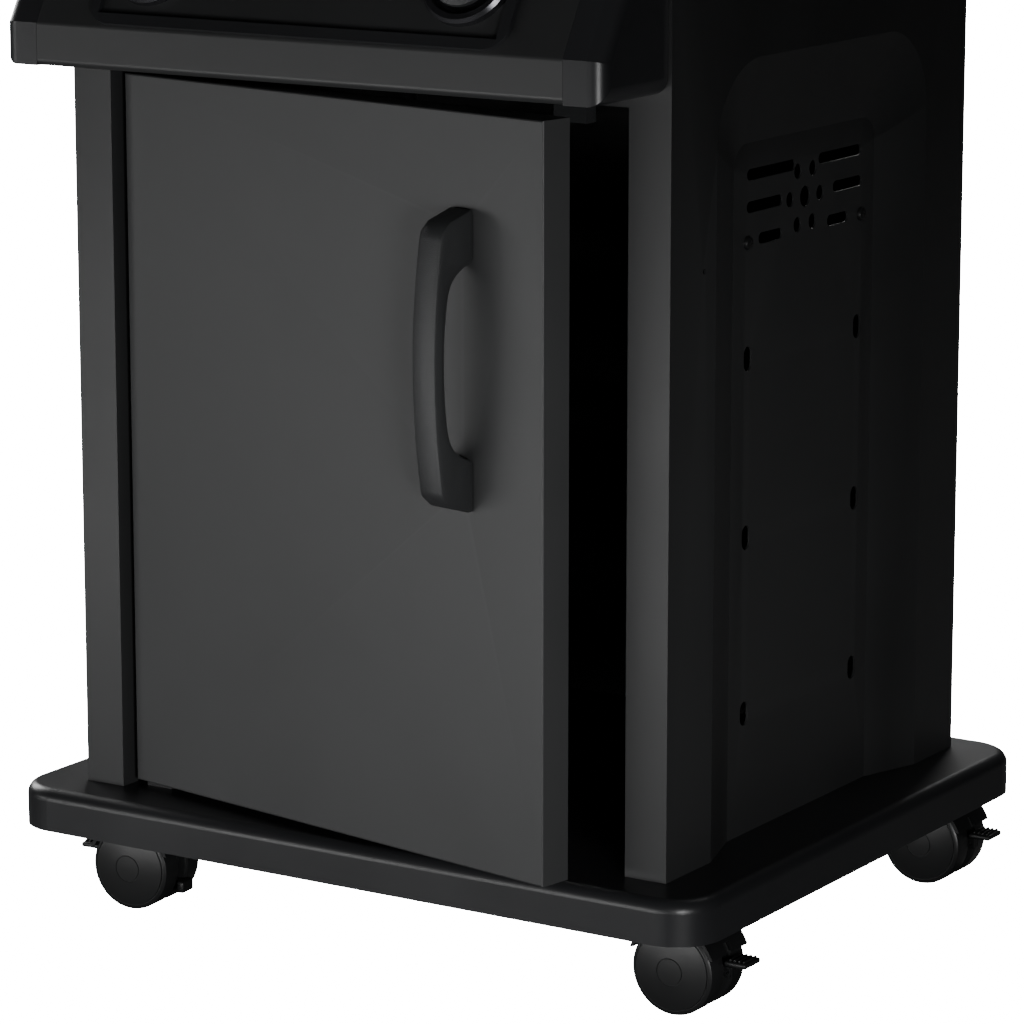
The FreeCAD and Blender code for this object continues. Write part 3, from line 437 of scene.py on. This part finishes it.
def cooking_grate(side):
    """Cast grate: thirteen round-topped bars tied by three cross bars."""
    node = side + "_cooking_grate"
    low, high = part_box(node)
    middle = (low + high) / 2
    pitch, bar, slack = 17 * MM, 5 * MM, 0.2 * MM
    bars = []
    for step in range(13):
        x = low.x + bar / 2 + pitch * step
        size = (bar - slack, high.y - low.y - slack, high.z - low.z - slack)
        bars.append(bevelled(block(size, (x, middle.y, middle.z)), 1.7 * MM, 3))
    for y in (low.y + 4 * MM, middle.y, high.y - 4 * MM):
        size = (high.x - low.x - 2 * MM, 7 * MM, 9 * MM)
        bars.append(bevelled(block(size, (middle.x, y, low.z + 5 * MM)), 1.5 * MM, 2))
    grate = join(bars, side + "_cast_grate")
    dress(grate, IRON)
    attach(grate, "cart")
    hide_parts(node)


def shelf_detail(side):
    """Pressed ribs along a shelf's top."""
    low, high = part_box(side + "_side_shelf")
    middle = (low + high) / 2
    size, pitch, sunk = (190 * MM, 7 * MM, 2.4 * MM), 36 * MM, 0.2 * MM
    ribs = []
    for step in range(-4, 5):
        rib = block(size, (middle.x, middle.y + step * pitch, high.z - sunk))
        ribs.append(bevelled(rib, 1.1 * MM, 4, angle=30))
    piece = join(ribs, side + "_shelf_ribs")
    dress(piece, SHELF)
    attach(piece, side + "_shelf")


def lid_hem():
    """Rolled hem round the lid's lower edge, in front and at both ends."""
    low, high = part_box("lid_shell")
    depth, height, proud = 430 * MM, 7 * MM, 1.2 * MM
    z = low.z + height / 2 + 0.3 * MM
    rails = [block((high.x - low.x + 2 * proud, 2 * proud, height), (0, low.y, z))]
    for x in (low.x, high.x):
        rails.append(block((2 * proud, depth - 12 * MM, height), (x, low.y + depth / 2, z)))
    hem = join([bevelled(rail, 1.1 * MM, 3) for rail in rails], "lid_hem")
    dress(hem, ENAMEL)
    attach(hem, "lid")


# ---------------------------------------------------------------- studio
def hang(name, light, position, aim):
    """Put a light in the scene, aimed at a point and unseen by the camera."""
    holder = bpy.data.objects.new(name, light)
    bpy.context.collection.objects.link(holder)
    holder.location = position
    holder.rotation_euler = (Vector(aim) - Vector(position)).to_track_quat("-Z", "Y").to_euler()
    holder.visible_camera = False


def softbox(name, position, aim, size, power, spread=180):
    """A rectangular soft light; spread is its cone in degrees."""
    light = bpy.data.lights.new(name, "AREA")
    light.shape = "RECTANGLE"
    light.size, light.size_y = size
    light.energy = power
    light.spread = math.radians(spread)
    hang(name, light, position, aim)


def spot(name, position, aim, power, cone):
    """A round light with a cone in degrees, soft at its rim."""
    light = bpy.data.lights.new(name, "SPOT")
    light.energy = power
    light.spot_size = math.radians(cone)
    light.spot_blend = 0.5
    light.shadow_soft_size = 0.25
    hang(name, light, position, aim)


def two_way(tree, seen, unseen):
    """Mix two shaders: one that the camera sees directly, one that lights the object."""
    path = tree.nodes.new("ShaderNodeLightPath")
    mix = tree.nodes.new("ShaderNodeMixShader")
    tree.links.new(path.outputs["Is Camera Ray"], mix.inputs["Fac"])
    tree.links.new(unseen, mix.inputs[1])
    tree.links.new(seen, mix.inputs[2])
    return mix.outputs["Shader"]


def studio():
    """Pale floor, white surround and low soft lights in front and to the left."""
    deselect()
    bpy.ops.mesh.primitive_plane_add(size=40, location=(0, 0, 0))
    floor = settle(bpy.context.object, "studio_floor")
    pale = finish("pale_floor", (0.8, 0.8, 0.8), 0.9, grain=40, bump=0.0, mottle=0.0, specular=0.0)
    tree = pale.node_tree
    glow = tree.nodes.new("ShaderNodeEmission")
    glow.inputs["Strength"].default_value = 28.0
    both = tree.nodes.new("ShaderNodeAddShader")
    surface = tree.nodes["Principled BSDF"].outputs["BSDF"]
    tree.links.new(surface, both.inputs[0])
    tree.links.new(glow.outputs["Emission"], both.inputs[1])
    dull = tree.nodes.new("ShaderNodeBsdfDiffuse")
    dull.inputs["Color"].default_value = (0.1, 0.1, 0.1, 1)
    shown = two_way(tree, both.outputs["Shader"], dull.outputs["BSDF"])
    tree.links.new(shown, tree.nodes["Material Output"].inputs["Surface"])
    dress(floor, pale)
    world = bpy.data.worlds.new("surround")
    bpy.context.scene.world = world
    world.use_nodes = True
    tree = world.node_tree
    seen = tree.nodes["Background"]
    seen.inputs["Color"].default_value = (1, 1, 1, 1)
    seen.inputs["Strength"].default_value = 30.0
    unseen = tree.nodes.new("ShaderNodeBackground")
    unseen.inputs["Strength"].default_value = 0.012
    unseen.inputs["Color"].default_value = (1, 1, 1, 1)
    surface = two_way(tree, seen.outputs["Background"], unseen.outputs["Background"])
    tree.links.new(surface, tree.nodes["World Output"].inputs["Surface"])
    softbox("low_front", (-0.35, -1.55, 0.02), (0.12, -0.2, 0.08), (1.5, 0.3), 14)
    softbox("left_key", (-2.3, -1.9, 0.25), (-0.1, -0.2, 0.1), (0.9, 0.4), 6)
    softbox("right_fill", (1.5, -1.5, 0.35), (0.25, -0.32, 0.25), (0.5, 0.5), 2.0, spread=60)
    softbox("top_soft", (-0.3, 1.5, 3.2), (0, 0, 0.6), (2.0, 1.2), 16)
    spot("lid_spot", (-1.5, -2.4, 2.5), (0, 0.02, 1.06), 1500, 8)
    softbox("left_side", (-2.8, 0.8, 1.5), (-0.25, 0, 0.5), (1.2, 1.2), 45)
    softbox("back_soft", (-1.2, 2.6, 2.9), (0, 0, 0.5), (1.8, 1.4), 60)


def camera():
    """Long lens at about a metre high, a little to the right of the front."""
    lens = bpy.data.cameras.new("camera")
    lens.lens = 158.29
    lens.sensor_width = 36
    lens.clip_end = 60
    holder = bpy.data.objects.new("camera", lens)
    bpy.context.collection.objects.link(holder)
    holder.location = (1.7553, -2.7556, 1.0065)
    pitch = math.radians(12.11)
    heading = math.radians(32.398)
    holder.rotation_euler = (math.pi / 2 - pitch, 0, heading)
    bpy.context.scene.camera = holder


dress_frame()
door_handle()
for corner in CORNERS:
    caster_wheels(corner)
    caster_trim(corner)
for side in ("left", "right"):
    knob_detail(side)
    cooking_grate(side)
    shelf_detail(side)
side_screws()
lid_hem()
thermometer()
studio()
camera()
